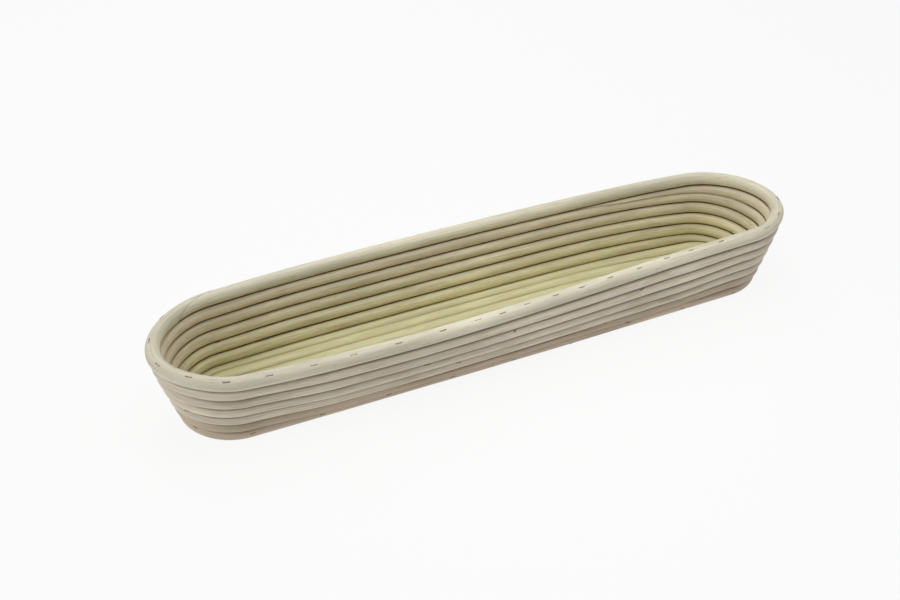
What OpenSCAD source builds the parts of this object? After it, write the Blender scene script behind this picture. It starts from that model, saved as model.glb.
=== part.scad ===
// Long oval proofing basket for baguette dough, coiled from rattan cane and held with wire staples.
// Millimetres, Z up, X along the basket, +Y the far side. The origin is under the middle of the floor.

/* [Cane] */
// Thickness of the cane of the floor and the wall
cane_d = 8.4; // [7:0.1:10]
// Thickness of the rim cane
rim_d = 8.8; // [7:0.1:11]
// Clear gap between two wall rounds
wall_gap = 0.6; // [0.5:0.1:1.5]
// Clear gap between two floor loops
floor_gap = 1.2; // [0.6:0.1:2]

/* [Plan] */
// Distance between the centres of the two round ends
end_spacing = 370; // [240:5:480]
// Outward bow of the long sides at the floor
floor_bow = 1.4; // [0.4:0.1:3]
// Outward bow of the long sides at the rim
rim_bow = 6.2; // [1:0.1:9]
// Hand-made swell of the near side of the rim, fullest left of the middle
near_swell = 2.9; // [0:0.1:4]
// How far the tips of the rim stand out past a round end
end_point = 1.7; // [0:0.1:3]
// How far both ends of the rim turn towards the near side
end_turn = 2.9; // [0:0.1:4]

/* [Wall] */
// Outward lean of the lowest wall round, in degrees from upright
lowest_lean_angle = 25; // [10:1:32]
// Outward lean of the rim, in degrees from upright
rim_lean_angle = 2; // [0:1:8]
// Length of the far side in which the coil climbs from one round to the next
climb_length = 120; // [90:5:140]

/* [Cane ends] */
// Length of the slanted joint of two cane ends on a long side
scarf_length = 60; // [40:5:80]
// Clear gap in a slanted joint
scarf_gap = 0.5; // [0.45:0.05:0.8]
// Thickness at the tip of a tapered end
tip_thickness = 0.6; // [0.5:0.1:1]

/* [Staples] */
// Width of a staple over its legs
staple_width = 5.5; // [4:0.5:8]
// Depth of the staple legs in the cane that they hold
staple_bite = 4; // [2.5:0.5:5]
// Thickness of the wire across the crown
wire_thickness = 0.7; // [0.5:0.1:1]
// Width of the wire
wire_width = 0.9; // [0.6:0.1:1.2]
// How far the crown stands out of its cane
crown_proud = 0.15; // [0.1:0.05:0.3]

/* [Hidden] */

// Counts. The levels are the floor loops from the middle outwards, then the wall rounds, then the rim.
loop_count = 4;
round_count = 5;
side_staples = 8;
end_staples = 3;
// Staples on the near side of the rim and of the round under it, as they were driven by hand, in parts of
// that side's length
rim_near_staples = [
    0.037, 0.111, 0.179, 0.258, 0.339, 0.405, 0.452, 0.502, 0.559, 0.613, 0.673, 0.736, 0.798, 0.853, 0.921
];
top_near_staples = [0.075, 0.22, 0.3, 0.43, 0.53, 0.645, 0.77, 0.9];
tube_sides = 10;
climb_rings = 8;
side_rings = 5;
near_rings = 7;
end_rings = 9;
taper_rings = 5;

base_level = loop_count - 1;
top_level = base_level + round_count;
rim_level = top_level + 1;

// The flat that the basket stands on is cut off the floor by a tenth of the cane.
flat_cut = cane_d / 10;
floor_height = cane_d / 2 - flat_cut;
floor_pitch = cane_d + floor_gap;
wall_pitch = cane_d + wall_gap;
rim_pitch = (cane_d + rim_d) / 2 + wall_gap;
half_spacing = end_spacing / 2;
climb_share = climb_length / end_spacing;
// The climb starts this part of the right bend before the far side. It makes the first share of its rise in
// the bend, gently at first, and the rest along the far side, more slowly towards its end.
climb_lead_share = 0.45;
bend_climb_share = 0.19;
slowing_power = 1.7;
// The inner floor loops, whose bends are tight, climb on the far side alone. From turn to turn, this part
// of their climb moves into the bend.
bend_growth_share = 0.4;
scarf_share = scarf_length / end_spacing;
// The rim's joint runs into the bend of the left end, where a part of the turn is shorter.
rim_scarf_share = 1.3 * scarf_share;
staple_leg = cane_d + wall_gap + staple_bite;
// At its ends the wall is this much of a plain cone, and along its sides it bellies.
cone_share = 0.75;
// Lengths along the plan in which the pointed tip, the cone and the turn of an end fade out
point_length = 46;
cone_fade = 60;
turn_fade = 100;
// Makes the near swell the largest shift of the cubic that shapes it.
swell_factor = 3 * sqrt(3) / 2;

// A place on the coil is 4 x turn + s: s runs over the far side, left end, near side and right end.
turn_parts = 4;
coil_end = (top_level + 1) * turn_parts - climb_lead_share;
lower_joint = base_level * turn_parts + 2.45;
upper_joint = (base_level + 3) * turn_parts + 0.65;
rim_joint = 0.97;

base_radius = end_radius(base_level);
rim_radius = end_radius(rim_level);
bend_length = PI * end_radius(top_level - 1);
cone_end = bend_length / 2 + cone_fade;

// Places of the rings in one turn, even on each part of it and closer where the coil climbs
turn_places = concat(
    [for (i = [0:climb_rings - 1]) climb_share * i / climb_rings],
    [for (i = [0:side_rings - 1]) climb_share + (1 - climb_share) * i / side_rings],
    [for (i = [0:end_rings - 1]) 1 + i / end_rings],
    [for (i = [0:near_rings - 1]) 2 + i / near_rings],
    [for (i = [0:end_rings - 1]) 3 + i / end_rings]
);
// The near swell would set the rim off the middle of the basket, so the plan moves back by that much.
rim_sides = [for (s = turn_places) oval(rim_level, s)[1]];
middle_shift = -(max(rim_sides) + min(rim_sides)) / 2;

colour_wall = "#cbbfa2";
colour_rim = "#d8cbb6";
colour_floor = "#d2cb9c";
colour_wire = "#6f675c";

// Level along the coil
function smooth_step(t) = t * t * (3 - 2 * t);
function smooth_step_inverse(f) = 0.5 - sin(asin(1 - 2 * f) / 3);
function eased(t) = smooth_step(max(0, min(1, t)));
function turn_of(place) = floor(place / turn_parts);
function wrapped(place) = place - turn_of(place) * turn_parts;
function climb_turn(place) = turn_of(place + climb_lead_share);
function climb_at(place) =
    let (
        run = wrapped(place + climb_lead_share),
        lead = min(1, run / climb_lead_share),
        rise = max(0, min(1, (run - climb_lead_share) / climb_share)),
        slowing = 1 - pow(1 - rise, slowing_power),
        sloped = bend_climb_share * lead * lead + (1 - bend_climb_share) * slowing,
        weight = max(0, min(1, bend_growth_share * (climb_turn(place) - 1)))
    )
    sloped * weight + smooth_step(rise) * (1 - weight);
function level_at(place) = min(top_level, max(0, climb_turn(place) - 1 + climb_at(place)));

// Sizes of a level, whole or part way to the next
function wall_share(level) = max(0, level - base_level) / (rim_level - base_level);
function lean_share(level) = (level - base_level - 1) / (rim_level - base_level - 1);
function lean(level) =
    level <= base_level ? 90
    : level <= base_level + 1 ? 90 + (lowest_lean_angle - 90) * (level - base_level)
    : lowest_lean_angle + (rim_lean_angle - lowest_lean_angle) * lean_share(level);
function pitch(level) =
    level <= base_level ? floor_pitch
    : level <= base_level + 1 ? floor_pitch + (wall_pitch - floor_pitch) * (level - base_level)
    : level <= top_level ? wall_pitch
    : rim_pitch;
function end_radius(level) =
    level < 1 ? floor_pitch * (level + 0.5)
    : end_radius(level - 1) + pitch(level) * sin(lean(level));
function bow(level) = floor_bow + (rim_bow - floor_bow) * wall_share(level);

// Distance of a level from the line that joins the two end centres
function from_tip(s) =
    let (part = floor(s), t = s - part)
    part % 2 == 1 ? abs(t - 0.5) * bend_length : bend_length / 2 + min(t, 1 - t) * end_spacing;
function reach(level, s) =
    let (
        d = from_tip(s),
        radius = end_radius(level),
        cone = base_radius + (rim_radius - base_radius) * wall_share(level),
        belly = level > base_level ? radius - cone : 0,
        coned = cone_share * (1 - eased((d - bend_length / 2) / cone_fade)),
        nose = 2 * eased(d / point_length) - 1,
        tail = eased((d - point_length) / (cone_end - point_length))
    )
    radius - belly * coned - end_point * wall_share(level) * (nose - tail);

// Oval of two round ends and two bowed sides, each tangent to the next
function far_arc(reach, sag, angle) = [
    (reach + side_radius(sag)) * sin(angle),
    (reach + side_radius(sag)) * cos(angle) - side_radius(sag) + sag
];
function side_radius(sag) = (half_spacing * half_spacing + sag * sag) / (2 * sag);
function side_angle(sag) = 2 * atan(sag / half_spacing);
function round_end(reach, middle, angle) = [middle + reach * cos(angle), reach * sin(angle)];
function mirrored(point) = [point[0], -point[1]];
function even_oval(reach, sag, part, t) =
    let (a = side_angle(sag))
    part == 0 ? far_arc(reach, sag, a * (1 - 2 * t))
    : part == 1 ? round_end(reach, -half_spacing, 90 + a + (180 - 2 * a) * t)
    : part == 2 ? mirrored(far_arc(reach, sag, a * (2 * t - 1)))
    : round_end(reach, half_spacing, -90 + a + (180 - 2 * a) * t);
function swollen(point, reach, swell) =
    let (u = point[0] / (half_spacing + reach))
    point[1] >= 0 ? point : [point[0], point[1] + swell * swell_factor * u * (1 - u * u)];
function oval(level, s) =
    let (
        out = reach(level, s),
        part = floor(s),
        share = wall_share(level),
        turned = end_turn * share * (1 - eased((from_tip(s) - point_length) / turn_fade))
    )
    swollen(even_oval(out, bow(level), part, s - part), out, near_swell * share) - [0, turned];
function plan(level, s) = oval(level, s) + [0, middle_shift];

// A round lies one pitch from the round below it, so it sits lower where the wall leans out more.
function height(level, s) =
    level < 1 ? floor_height
    : height(level - 1, s) + rise(pitch(level), norm(plan(level, s) - plan(level - 1, s)));
function rise(slant, reach) = sqrt(max(0, slant * slant - reach * reach));
function level_point(level, s) =
    let (flat = plan(level, s))
    [flat[0], flat[1], height(level, s)];

function coil_point(place) = level_point(level_at(place), wrapped(place));
function rim_point(place) = level_point(rim_level, wrapped(place));
function cane_point(place, on_rim) = on_rim ? rim_point(place) : coil_point(place);

// Direction along a cane, level with the floor, and straight out from it
step = 0.002;
function heading(place, on_rim) =
    let (d = cane_point(place + step, on_rim) - cane_point(place - step, on_rim))
    [d[0], d[1], 0] / norm([d[0], d[1]]);
function outward(place, on_rim) =
    let (h = heading(place, on_rim))
    [h[1], -h[0], 0];

// Places of the rings of a cane, between its tapered ends
clear_of_taper = 0.03;
function body_places(from, to) = [
    for (turn = [turn_of(from):turn_of(to)])
        for (s = turn_places)
            let (place = turn * turn_parts + s)
            if (place > from + clear_of_taper && place < to - clear_of_taper) place
];
function spread(from, to) = [for (i = [0:taper_rings - 1]) from + (to - from) * i / (taper_rings - 1)];

// Slanted joint: t is 0 where it starts in the old cane and 1 at that cane's tip.
function scarf_lead(d) = (scarf_gap + tip_thickness) / (d - tip_thickness);
function scarf_places(joint, share, d) = spread(joint + share * scarf_lead(d), joint + share);
function old_places(joint, share, d) = concat([joint], scarf_places(joint, share, d));
function new_full(joint, share, d) = joint + share * (1 + scarf_lead(d));
function new_places(joint, share, d) =
    concat(scarf_places(joint, share, d), [new_full(joint, share, d)]);
function scarf_t(place, joint, share) = (place - joint) / share;

// Limits of a cane's section, [inner, outer, lower, upper], measured from its middle
function whole(d) = [-d / 2, d / 2, -d / 2, d / 2];
function old_end(d, t) = [-d / 2, min(d / 2, d / 2 - (d - tip_thickness) * t), -d / 2, d / 2];
function new_end(d, t) =
    [max(-d / 2, d / 2 + scarf_gap - (d - tip_thickness) * t), d / 2, -d / 2, d / 2];
function coil_start(place) =
    [-cane_d / 2, min(cane_d / 2, floor_pitch * climb_at(place) - cane_d / 2 - floor_gap),
     -cane_d / 2, cane_d / 2];
function coil_taper(place) =
    [-cane_d / 2, cane_d / 2,
     coil_point(place - turn_parts)[2] - coil_point(place)[2] + cane_d / 2 + wall_gap, cane_d / 2];

// Ring of a cane, drawn in to its limits as a flatter oval, and cut off level at the floor
function ring(place, on_rim, d, limits) =
    let (
        middle = cane_point(place, on_rim),
        out = outward(place, on_rim),
        across = (limits[1] - limits[0]) / d,
        tall = (limits[3] - limits[2]) / d,
        shift = (limits[0] + limits[1]) / 2,
        lift = (limits[2] + limits[3]) / 2
    )
    [for (i = [0:tube_sides - 1])
        let (
            a = 90 + 360 * i / tube_sides,
            n = shift + d / 2 * cos(a) * across * sqrt(tall),
            z = middle[2] + lift + d / 2 * sin(a) * tall * sqrt(across)
        )
        [middle[0] + out[0] * n, middle[1] + out[1] * n, max(0, z)]];

// Closed skin of triangles over a row of rings
module tube(rings) {
    n = tube_sides;
    last = (len(rings) - 1) * n;
    points = [for (r = rings) for (p = r) p];
    sides = [
        for (k = [0:len(rings) - 2])
            for (i = [0:n - 1])
                let (a = k * n + i, b = k * n + (i + 1) % n)
                each [[a, b, a + n], [b, b + n, a + n]]
    ];
    caps = [for (i = [1:n - 2]) each [[0, i + 1, i], [last, last + i, last + i + 1]]];
    polyhedron(points, concat(sides, caps));
}

// Places of each cane, from its first tip to its last
first_tip = climb_share * smooth_step_inverse((tip_thickness + floor_gap) / floor_pitch);
last_climb = (cane_d - tip_thickness) / wall_pitch;
last_slowing = (last_climb - bend_climb_share) / (1 - bend_climb_share);
last_rise = 1 - pow(1 - last_slowing, 1 / slowing_power);
last_tip = coil_end + climb_lead_share + climb_share * last_rise;
floor_places = concat(
    [first_tip],
    body_places(first_tip, lower_joint),
    old_places(lower_joint, scarf_share, cane_d)
);
lower_places = concat(
    new_places(lower_joint, scarf_share, cane_d),
    body_places(new_full(lower_joint, scarf_share, cane_d), upper_joint),
    old_places(upper_joint, scarf_share, cane_d)
);
upper_places = concat(
    new_places(upper_joint, scarf_share, cane_d),
    body_places(new_full(upper_joint, scarf_share, cane_d), last_tip),
    [last_tip]
);
rim_end = rim_joint + turn_parts;
rim_places = concat(
    new_places(rim_joint, rim_scarf_share, rim_d),
    body_places(new_full(rim_joint, rim_scarf_share, rim_d), rim_end),
    old_places(rim_end, rim_scarf_share, rim_d)
);

floor_rings = [
    for (p = floor_places)
        ring(p, false, cane_d,
            p < climb_share ? coil_start(p)
            : p > lower_joint ? old_end(cane_d, scarf_t(p, lower_joint, scarf_share))
            : whole(cane_d))
];
lower_rings = [
    for (p = lower_places)
        ring(p, false, cane_d,
            p > upper_joint
            ? old_end(cane_d, scarf_t(p, upper_joint, scarf_share))
            : new_end(cane_d, scarf_t(p, lower_joint, scarf_share)))
];
upper_rings = [
    for (p = upper_places)
        ring(p, false, cane_d,
            p > coil_end ? coil_taper(p) : new_end(cane_d, scarf_t(p, upper_joint, scarf_share)))
];
rim_rings = [
    for (p = rim_places)
        ring(p, true, rim_d,
            p > rim_end
            ? old_end(rim_d, scarf_t(p, rim_end, rim_scarf_share))
            : new_end(rim_d, scarf_t(p, rim_joint, rim_scarf_share)))
];

// Least gap of a cane to its own next turn, from the points of each ring to the edges that run past it
function to_edge(p, a, b) =
    let (d = b - a, t = max(0, min(1, (p - a) * d / (d * d))))
    norm(p - a - t * d);
function passes(places, j, place) =
    places[j] < place + beside && places[j + 1] > place - beside;
function own_gap(places, rings) =
    min([
        for (i = [0:len(places) - 2])
            for (j = [i:len(places) - 2])
                if (passes(places, j, places[i] + turn_parts))
                    for (p = rings[i])
                        for (k = [0:tube_sides - 1])
                            to_edge(p, rings[j][k], rings[j + 1][k])
    ]);
beside = 0.05;
echo(str("least gap of floor_cane to itself: ", own_gap(floor_places, floor_rings), " mm"));
echo(str("least gap of lower_wall_cane to itself: ", own_gap(lower_places, lower_rings), " mm"));
echo(str("least gap of upper_wall_cane to itself: ", own_gap(upper_places, upper_rings), " mm"));
echo(str("least gap of rim_cane to itself: ", own_gap(rim_places, rim_rings), " mm"));

module floor_cane() {
    color(colour_floor) tube(floor_rings);
}

module lower_wall_cane() {
    color(colour_wall) tube(lower_rings);
}

module upper_wall_cane() {
    color(colour_wall) tube(upper_rings);
}

module rim_cane() {
    color(colour_rim) tube(rim_rings);
}

// Staple with its crown's outer face on the X axis and its legs towards -Y
module staple() {
    half = staple_width / 2;
    inner = half - wire_thickness;
    translate([0, 0, -wire_width / 2])
        linear_extrude(wire_width)
            polygon([
                [-half, 0], [half, 0], [half, -staple_leg], [inner, -staple_leg],
                [inner, -wire_thickness], [-inner, -wire_thickness],
                [-inner, -staple_leg], [-half, -staple_leg]
            ]);
}

// Staple driven through the cane at a point into the cane at another point
module driven(point, below, along, d) {
    up = (point - below) / norm(point - below);
    side = cross(along, up) / norm(cross(along, up));
    run = cross(up, side);
    seat = point + up * (d / 2 + crown_proud);
    multmatrix([
        [run[0], up[0], side[0], seat[0]],
        [run[1], up[1], side[1], seat[1]],
        [run[2], up[2], side[2], seat[2]]
    ])
        staple();
}

// Places of a round's staples, even on each side and end, moved along by part of their spacing. Every second
// level has its staples moved along, so that none meets a staple of the round below.
function row(part, count, shift) = [for (i = [0:count - 1]) part + (i + 0.5 + shift) / count];
function coil_staple_places(level) =
    let (
        shift = level % 2 == 0 ? 0 : 0.5,
        near = level == top_level ? [for (t = top_near_staples) 2 + t] : row(2, side_staples, shift)
    )
    concat(row(0, side_staples, shift), row(1, end_staples, shift), near, row(3, end_staples, shift));
// The rim has about twice as many, each clear of the staples of the round below it.
rim_staple_places = concat(
    row(0, 2 * side_staples, 0), row(1, 2 * end_staples, 0),
    [for (t = rim_near_staples) 2 + t], row(3, 2 * end_staples, 0)
);

module coil_staples(level) {
    color(colour_wire)
        for (s = coil_staple_places(level)) {
            place = level * turn_parts + s;
            driven(coil_point(place), coil_point(place - turn_parts), heading(place, false), cane_d);
        }
}

module rim_staples() {
    color(colour_wire)
        for (s = rim_staple_places)
            driven(rim_point(s), level_point(top_level, s), heading(s, true), rim_d);
}

floor_cane();
lower_wall_cane();
upper_wall_cane();
rim_cane();
coil_staples(1);  // floor_staples_1
coil_staples(2);  // floor_staples_2
coil_staples(3);  // floor_staples_3
coil_staples(base_level + 1);  // wall_staples_1
coil_staples(base_level + 2);  // wall_staples_2
coil_staples(base_level + 3);  // wall_staples_3
coil_staples(base_level + 4);  // wall_staples_4
coil_staples(base_level + 5);  // wall_staples_5
rim_staples();
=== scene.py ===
"""Long oval proofing basket, coiled from rattan cane and held with wire staples.

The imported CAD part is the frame. Each cane is swept along the same coil as its solid, a little fuller,
so that the rounds touch as the real ones do. Its sections carry the fibre relief, the slanted joints and
the dents under the staples. Lengths are in millimetres until a mesh is made, which is in metres.
"""

import logging
import math
from collections.abc import Callable, Sequence
from dataclasses import dataclass
from enum import Enum, IntEnum
from functools import cached_property, partial

import bpy
import numpy as np
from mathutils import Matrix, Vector


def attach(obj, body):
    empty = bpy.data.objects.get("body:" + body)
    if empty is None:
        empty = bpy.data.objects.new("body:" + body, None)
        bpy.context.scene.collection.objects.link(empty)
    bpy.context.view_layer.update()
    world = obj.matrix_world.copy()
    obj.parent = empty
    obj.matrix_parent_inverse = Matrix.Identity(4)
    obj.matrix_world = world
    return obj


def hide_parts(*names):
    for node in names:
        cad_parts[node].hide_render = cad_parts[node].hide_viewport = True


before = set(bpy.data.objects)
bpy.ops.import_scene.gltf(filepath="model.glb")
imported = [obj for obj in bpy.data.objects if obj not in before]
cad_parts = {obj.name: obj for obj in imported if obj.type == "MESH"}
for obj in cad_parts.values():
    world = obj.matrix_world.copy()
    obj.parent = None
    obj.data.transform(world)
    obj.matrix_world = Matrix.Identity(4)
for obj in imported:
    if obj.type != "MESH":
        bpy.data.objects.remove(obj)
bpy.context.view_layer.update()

LOG = logging.getLogger("proofing_basket")
MM = 0.001
WHITE = (1.0, 1.0, 1.0, 1.0)
# Range in which most of a noise texture lies, and its middle
NOISE_SPAN = (0.3, 0.7)
NOISE_MIDDLE = 0.5
# Makes 1 of the greatest value of u * (1 - u * u)
CUBIC_PEAK = 1.5 * math.sqrt(3)
# Waves of the fibre relief: per metre along the cane, and per radius across it
FIBRE_WAVES = (20.0, 3.5, 3.5)
# Part of a dent that is flat
DENT_FLAT = 0.3
# Edges that bend more than this stay sharp.
CREASE = math.radians(50)

Inputs = dict[str | int, object]
Place = tuple[float, float, float]
Span = tuple[float, float]
Pattern = tuple[float, float, float]
Adder = Callable[..., bpy.types.Node]


def set_inputs(node: bpy.types.Node, inputs: Inputs) -> None:
    """Links or sets inputs of a node.

    Args:
        node: The node.
        inputs: For each input, by index or by the name of one in use, the value to set, the socket to
            link, or the node whose first output in use is linked.
    """
    for key, value in inputs.items():
        socket = (node.inputs[key] if isinstance(key, int)
                  else next(s for s in node.inputs if s.enabled and s.name == key))
        if isinstance(value, bpy.types.Node):
            value = next(s for s in value.outputs if s.enabled)
        if isinstance(value, bpy.types.NodeSocket):
            node.id_data.links.new(value, socket)
        else:
            socket.default_value = value


def add_node(tree: bpy.types.NodeTree, kind: str, inputs: Inputs | None = None,
             **settings: object) -> bpy.types.Node:
    """Adds a node with its settings and links.

    Args:
        tree: The tree that gets the node.
        kind: Blender's type name of the node.
        inputs: What set_inputs links or sets.
        **settings: Properties of the node itself.

    Returns:
        The new node.
    """
    node = tree.nodes.new(kind)
    for name, value in settings.items():
        setattr(node, name, value)
    set_inputs(node, inputs or {})
    return node


def new_material(name: str) -> tuple[bpy.types.Material, Adder, bpy.types.Node]:
    """Starts a material.

    Args:
        name: Name of the material.

    Returns:
        The material, what adds nodes to it, and its shader.
    """
    material = bpy.data.materials.new(name)
    material.use_nodes = True
    tree = material.node_tree
    return material, partial(add_node, tree), tree.nodes["Principled BSDF"]


def linked(name: str, data: bpy.types.ID) -> bpy.types.Object:
    """Adds an object to the scene.

    Args:
        name: Name of the object.
        data: Its mesh, light or camera.

    Returns:
        The object.
    """
    thing = bpy.data.objects.new(name, data)
    bpy.context.scene.collection.objects.link(thing)
    return thing


def store(mesh: bpy.types.Mesh, values: dict[str, np.ndarray]) -> None:
    """Stores values on the points of a mesh.

    Args:
        mesh: The mesh.
        values: For each attribute, a number or a row of three for each point.
    """
    for name, value in values.items():
        kind, key = ("FLOAT_VECTOR", "vector") if value.ndim > 1 else ("FLOAT", "value")
        mesh.attributes.new(name, kind, "POINT").data.foreach_set(key, value.ravel())


def linear(hex_colour: str) -> tuple[float, float, float, float]:
    """Turns an sRGB colour into a linear one.

    Args:
        hex_colour: The colour, such as "#d8cbb6".

    Returns:
        Its red, green, blue and alpha.
    """
    shares = [int(hex_colour[i:i + 2], 16) / 255 for i in (1, 3, 5)]
    red, green, blue = [c / 12.92 if c <= 0.04045 else ((c + 0.055) / 1.055) ** 2.4 for c in shares]
    return red, green, blue, 1.0


def smooth_step(t: np.ndarray | float) -> np.ndarray | float:
    """Eases t from 0 to 1."""
    return t * t * (3 - 2 * t)


def eased(t: np.ndarray) -> np.ndarray:
    """Eases t from 0 to 1, and keeps it there."""
    return smooth_step(np.clip(t, 0, 1))


def smooth_step_inverse(share: float) -> float:
    """Gives the t at which smooth_step reaches a share."""
    return 0.5 - math.sin(math.asin(1 - 2 * share) / 3)


class TurnPart(IntEnum):
    """Parts of one turn of the coil, in the order in which it was wound."""

    FAR_SIDE = 0
    LEFT_END = 1
    NEAR_SIDE = 2
    RIGHT_END = 3


class CutFrom(Enum):
    """Side of a cane that is cut away at a slanted end, as an angle from straight out towards up."""

    OUTSIDE = 0
    INSIDE = 180
    BELOW = -90
    TOP_OUTSIDE = 30
    BOTTOM_INSIDE = 210


@dataclass(frozen=True)
class CoilForm:
    """The rule that the coil follows, with the same sizes as the part's source.

    A place on the coil is 4 x turn + s, where s runs over the parts of a turn. The levels are the floor
    loops from the middle outwards, then the wall rounds, then the rim.
    """

    cane: float = 8.4
    rim: float = 8.8
    # Height of the lowest cane's middle, in parts of its thickness, as its underside is worn flat
    rest_share: float = 0.4
    wall_gap: float = 0.6
    floor_gap: float = 1.2
    end_spacing: float = 370.0
    floor_bow: float = 1.4
    rim_bow: float = 6.2
    near_swell: float = 2.9
    end_point: float = 1.7
    end_turn: float = 2.9
    lowest_lean: float = 25.0
    rim_lean: float = 2.0
    cone_share: float = 0.75
    point_length: float = 46.0
    cone_fade: float = 60.0
    turn_fade: float = 100.0
    climb_length: float = 120.0
    climb_lead: float = 0.45
    bend_climb: float = 0.19
    slowing: float = 1.7
    bend_growth: float = 0.4
    scarf_length: float = 60.0
    rim_scarf_factor: float = 1.3
    base_level: int = 3
    top_level: int = 8
    lower_joint: float = 14.45
    upper_joint: float = 24.65
    rim_joint: float = 0.97
    plan_steps: int = 400

    @property
    def rim_level(self) -> int:
        """Level of the rim."""
        return self.top_level + 1

    @property
    def parts(self) -> int:
        """Number of parts in a turn."""
        return len(TurnPart)

    @property
    def coil_end(self) -> float:
        """Place where the coil starts to run out under the rim."""
        return self.rim_level * self.parts - self.climb_lead

    @property
    def floor_pitch(self) -> float:
        """Distance between the middles of two floor loops."""
        return self.cane + self.floor_gap

    @property
    def wall_pitch(self) -> float:
        """Distance between the middles of two wall rounds."""
        return self.cane + self.wall_gap

    @property
    def climb_share(self) -> float:
        """Part of the far side in which the coil climbs a level."""
        return self.climb_length / self.end_spacing

    @property
    def scarf_share(self) -> float:
        """Length of a slanted joint, in parts of a long side."""
        return self.scarf_length / self.end_spacing

    @property
    def rim_scarf_share(self) -> float:
        """Length of the rim's joint, which runs into the shorter part of the left end."""
        return self.rim_scarf_factor * self.scarf_share

    @cached_property
    def bend_length(self) -> float:
        """Length of a round end of the upper wall."""
        return math.pi * float(self.end_radius(np.array(self.top_level - 1.0)))

    @cached_property
    def middle_shift(self) -> float:
        """Distance that the plan moves so that the rim is in the middle of the basket.

        Returns:
            The distance, towards the far side.
        """
        around = np.linspace(0, self.parts, self.plan_steps, endpoint=False)
        rim_y = self.oval(np.full_like(around, self.rim_level), around)[:, 1]
        return -(rim_y.max() + rim_y.min()) / 2

    def wrapped(self, place: np.ndarray) -> np.ndarray:
        """Gives a place's own part of its turn."""
        return place - np.floor(place / self.parts) * self.parts

    def turn(self, place: np.ndarray) -> np.ndarray:
        """Gives the turn of the coil at a place. A turn starts where its climb does, in the right bend."""
        return np.floor((place + self.climb_lead) / self.parts)

    def climb(self, place: np.ndarray) -> np.ndarray:
        """Gives how far the coil has climbed at a place, from 0 to 1.

        The climb starts gently in the right bend and slows down along the far side. The inner floor loops,
        whose bends are tight, climb on the far side alone.

        Args:
            place: Places on the coil.

        Returns:
            The share of the climb at each place.
        """
        run = self.wrapped(place + self.climb_lead)
        lead = np.minimum(1, run / self.climb_lead)
        rise = np.clip((run - self.climb_lead) / self.climb_share, 0, 1)
        sloped = self.bend_climb * lead ** 2 + (1 - self.bend_climb) * (1 - (1 - rise) ** self.slowing)
        weight = np.clip(self.bend_growth * (self.turn(place) - 1), 0, 1)
        return sloped * weight + smooth_step(rise) * (1 - weight)

    def level(self, place: np.ndarray) -> np.ndarray:
        """Gives the level of the coil at a place."""
        return np.clip(self.turn(place) - 1 + self.climb(place), 0, self.top_level)

    def wall_share(self, level: np.ndarray) -> np.ndarray:
        """Gives how far up the wall a level is, from 0 at the floor to 1 at the rim."""
        return np.maximum(0, level - self.base_level) / (self.rim_level - self.base_level)

    def lean(self, level: np.ndarray) -> np.ndarray:
        """Gives a level's outward lean from upright, in radians."""
        levels = [self.base_level, self.base_level + 1, self.rim_level]
        return np.radians(np.interp(level, levels, [90, self.lowest_lean, self.rim_lean]))

    def pitch(self, level: np.ndarray) -> np.ndarray:
        """Gives the distance of a level from the level below it.

        Args:
            level: Levels, whole or part way to the next.

        Returns:
            The distances.
        """
        rim_pitch = (self.cane + self.rim) / 2 + self.wall_gap
        coil = np.interp(level, [self.base_level, self.base_level + 1], [self.floor_pitch, self.wall_pitch])
        return np.where(level > self.top_level, rim_pitch, coil)

    def end_radius(self, level: np.ndarray) -> np.ndarray:
        """Gives the radius of a level's round ends.

        Args:
            level: Levels, whole or part way to the next.

        Returns:
            The radii.
        """
        first = level - np.floor(level)
        radius = self.floor_pitch * (first + 0.5)
        for k in range(1, self.rim_level + 1):
            step = self.pitch(first + k) * np.sin(self.lean(first + k))
            radius = radius + np.where(k <= np.floor(level), step, 0)
        return radius

    def from_tip(self, s: np.ndarray) -> np.ndarray:
        """Gives the rough distance of a place from the nearer tip of the basket, along the rim.

        Args:
            s: Places in the turn, from 0 to 4.

        Returns:
            The distances.
        """
        part = np.floor(s)
        t = s - part
        on_end = (part == TurnPart.LEFT_END) | (part == TurnPart.RIGHT_END)
        on_side = self.bend_length / 2 + np.minimum(t, 1 - t) * self.end_spacing
        return np.where(on_end, np.abs(t - 0.5) * self.bend_length, on_side)

    def reach(self, level: np.ndarray, s: np.ndarray) -> np.ndarray:
        """Gives how far a level lies outside the line that joins the two end centres.

        Along the sides the wall bellies. At the ends it is a plain cone, and a little pointed.

        Args:
            level: Levels, whole or part way to the next.
            s: Places in the turn, from 0 to 4.

        Returns:
            The distances.
        """
        from_tip = self.from_tip(s)
        half_bend = self.bend_length / 2
        radius = self.end_radius(level)
        floor, rim = self.end_radius(np.array([self.base_level, self.rim_level], dtype=float))
        cone = floor + (rim - floor) * self.wall_share(level)
        belly = np.where(level > self.base_level, radius - cone, 0)
        coned = self.cone_share * (1 - eased((from_tip - half_bend) / self.cone_fade))
        nose = 2 * eased(from_tip / self.point_length) - 1
        tail = eased((from_tip - self.point_length) / (half_bend + self.cone_fade - self.point_length))
        return radius - belly * coned - self.end_point * self.wall_share(level) * (nose - tail)

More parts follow.
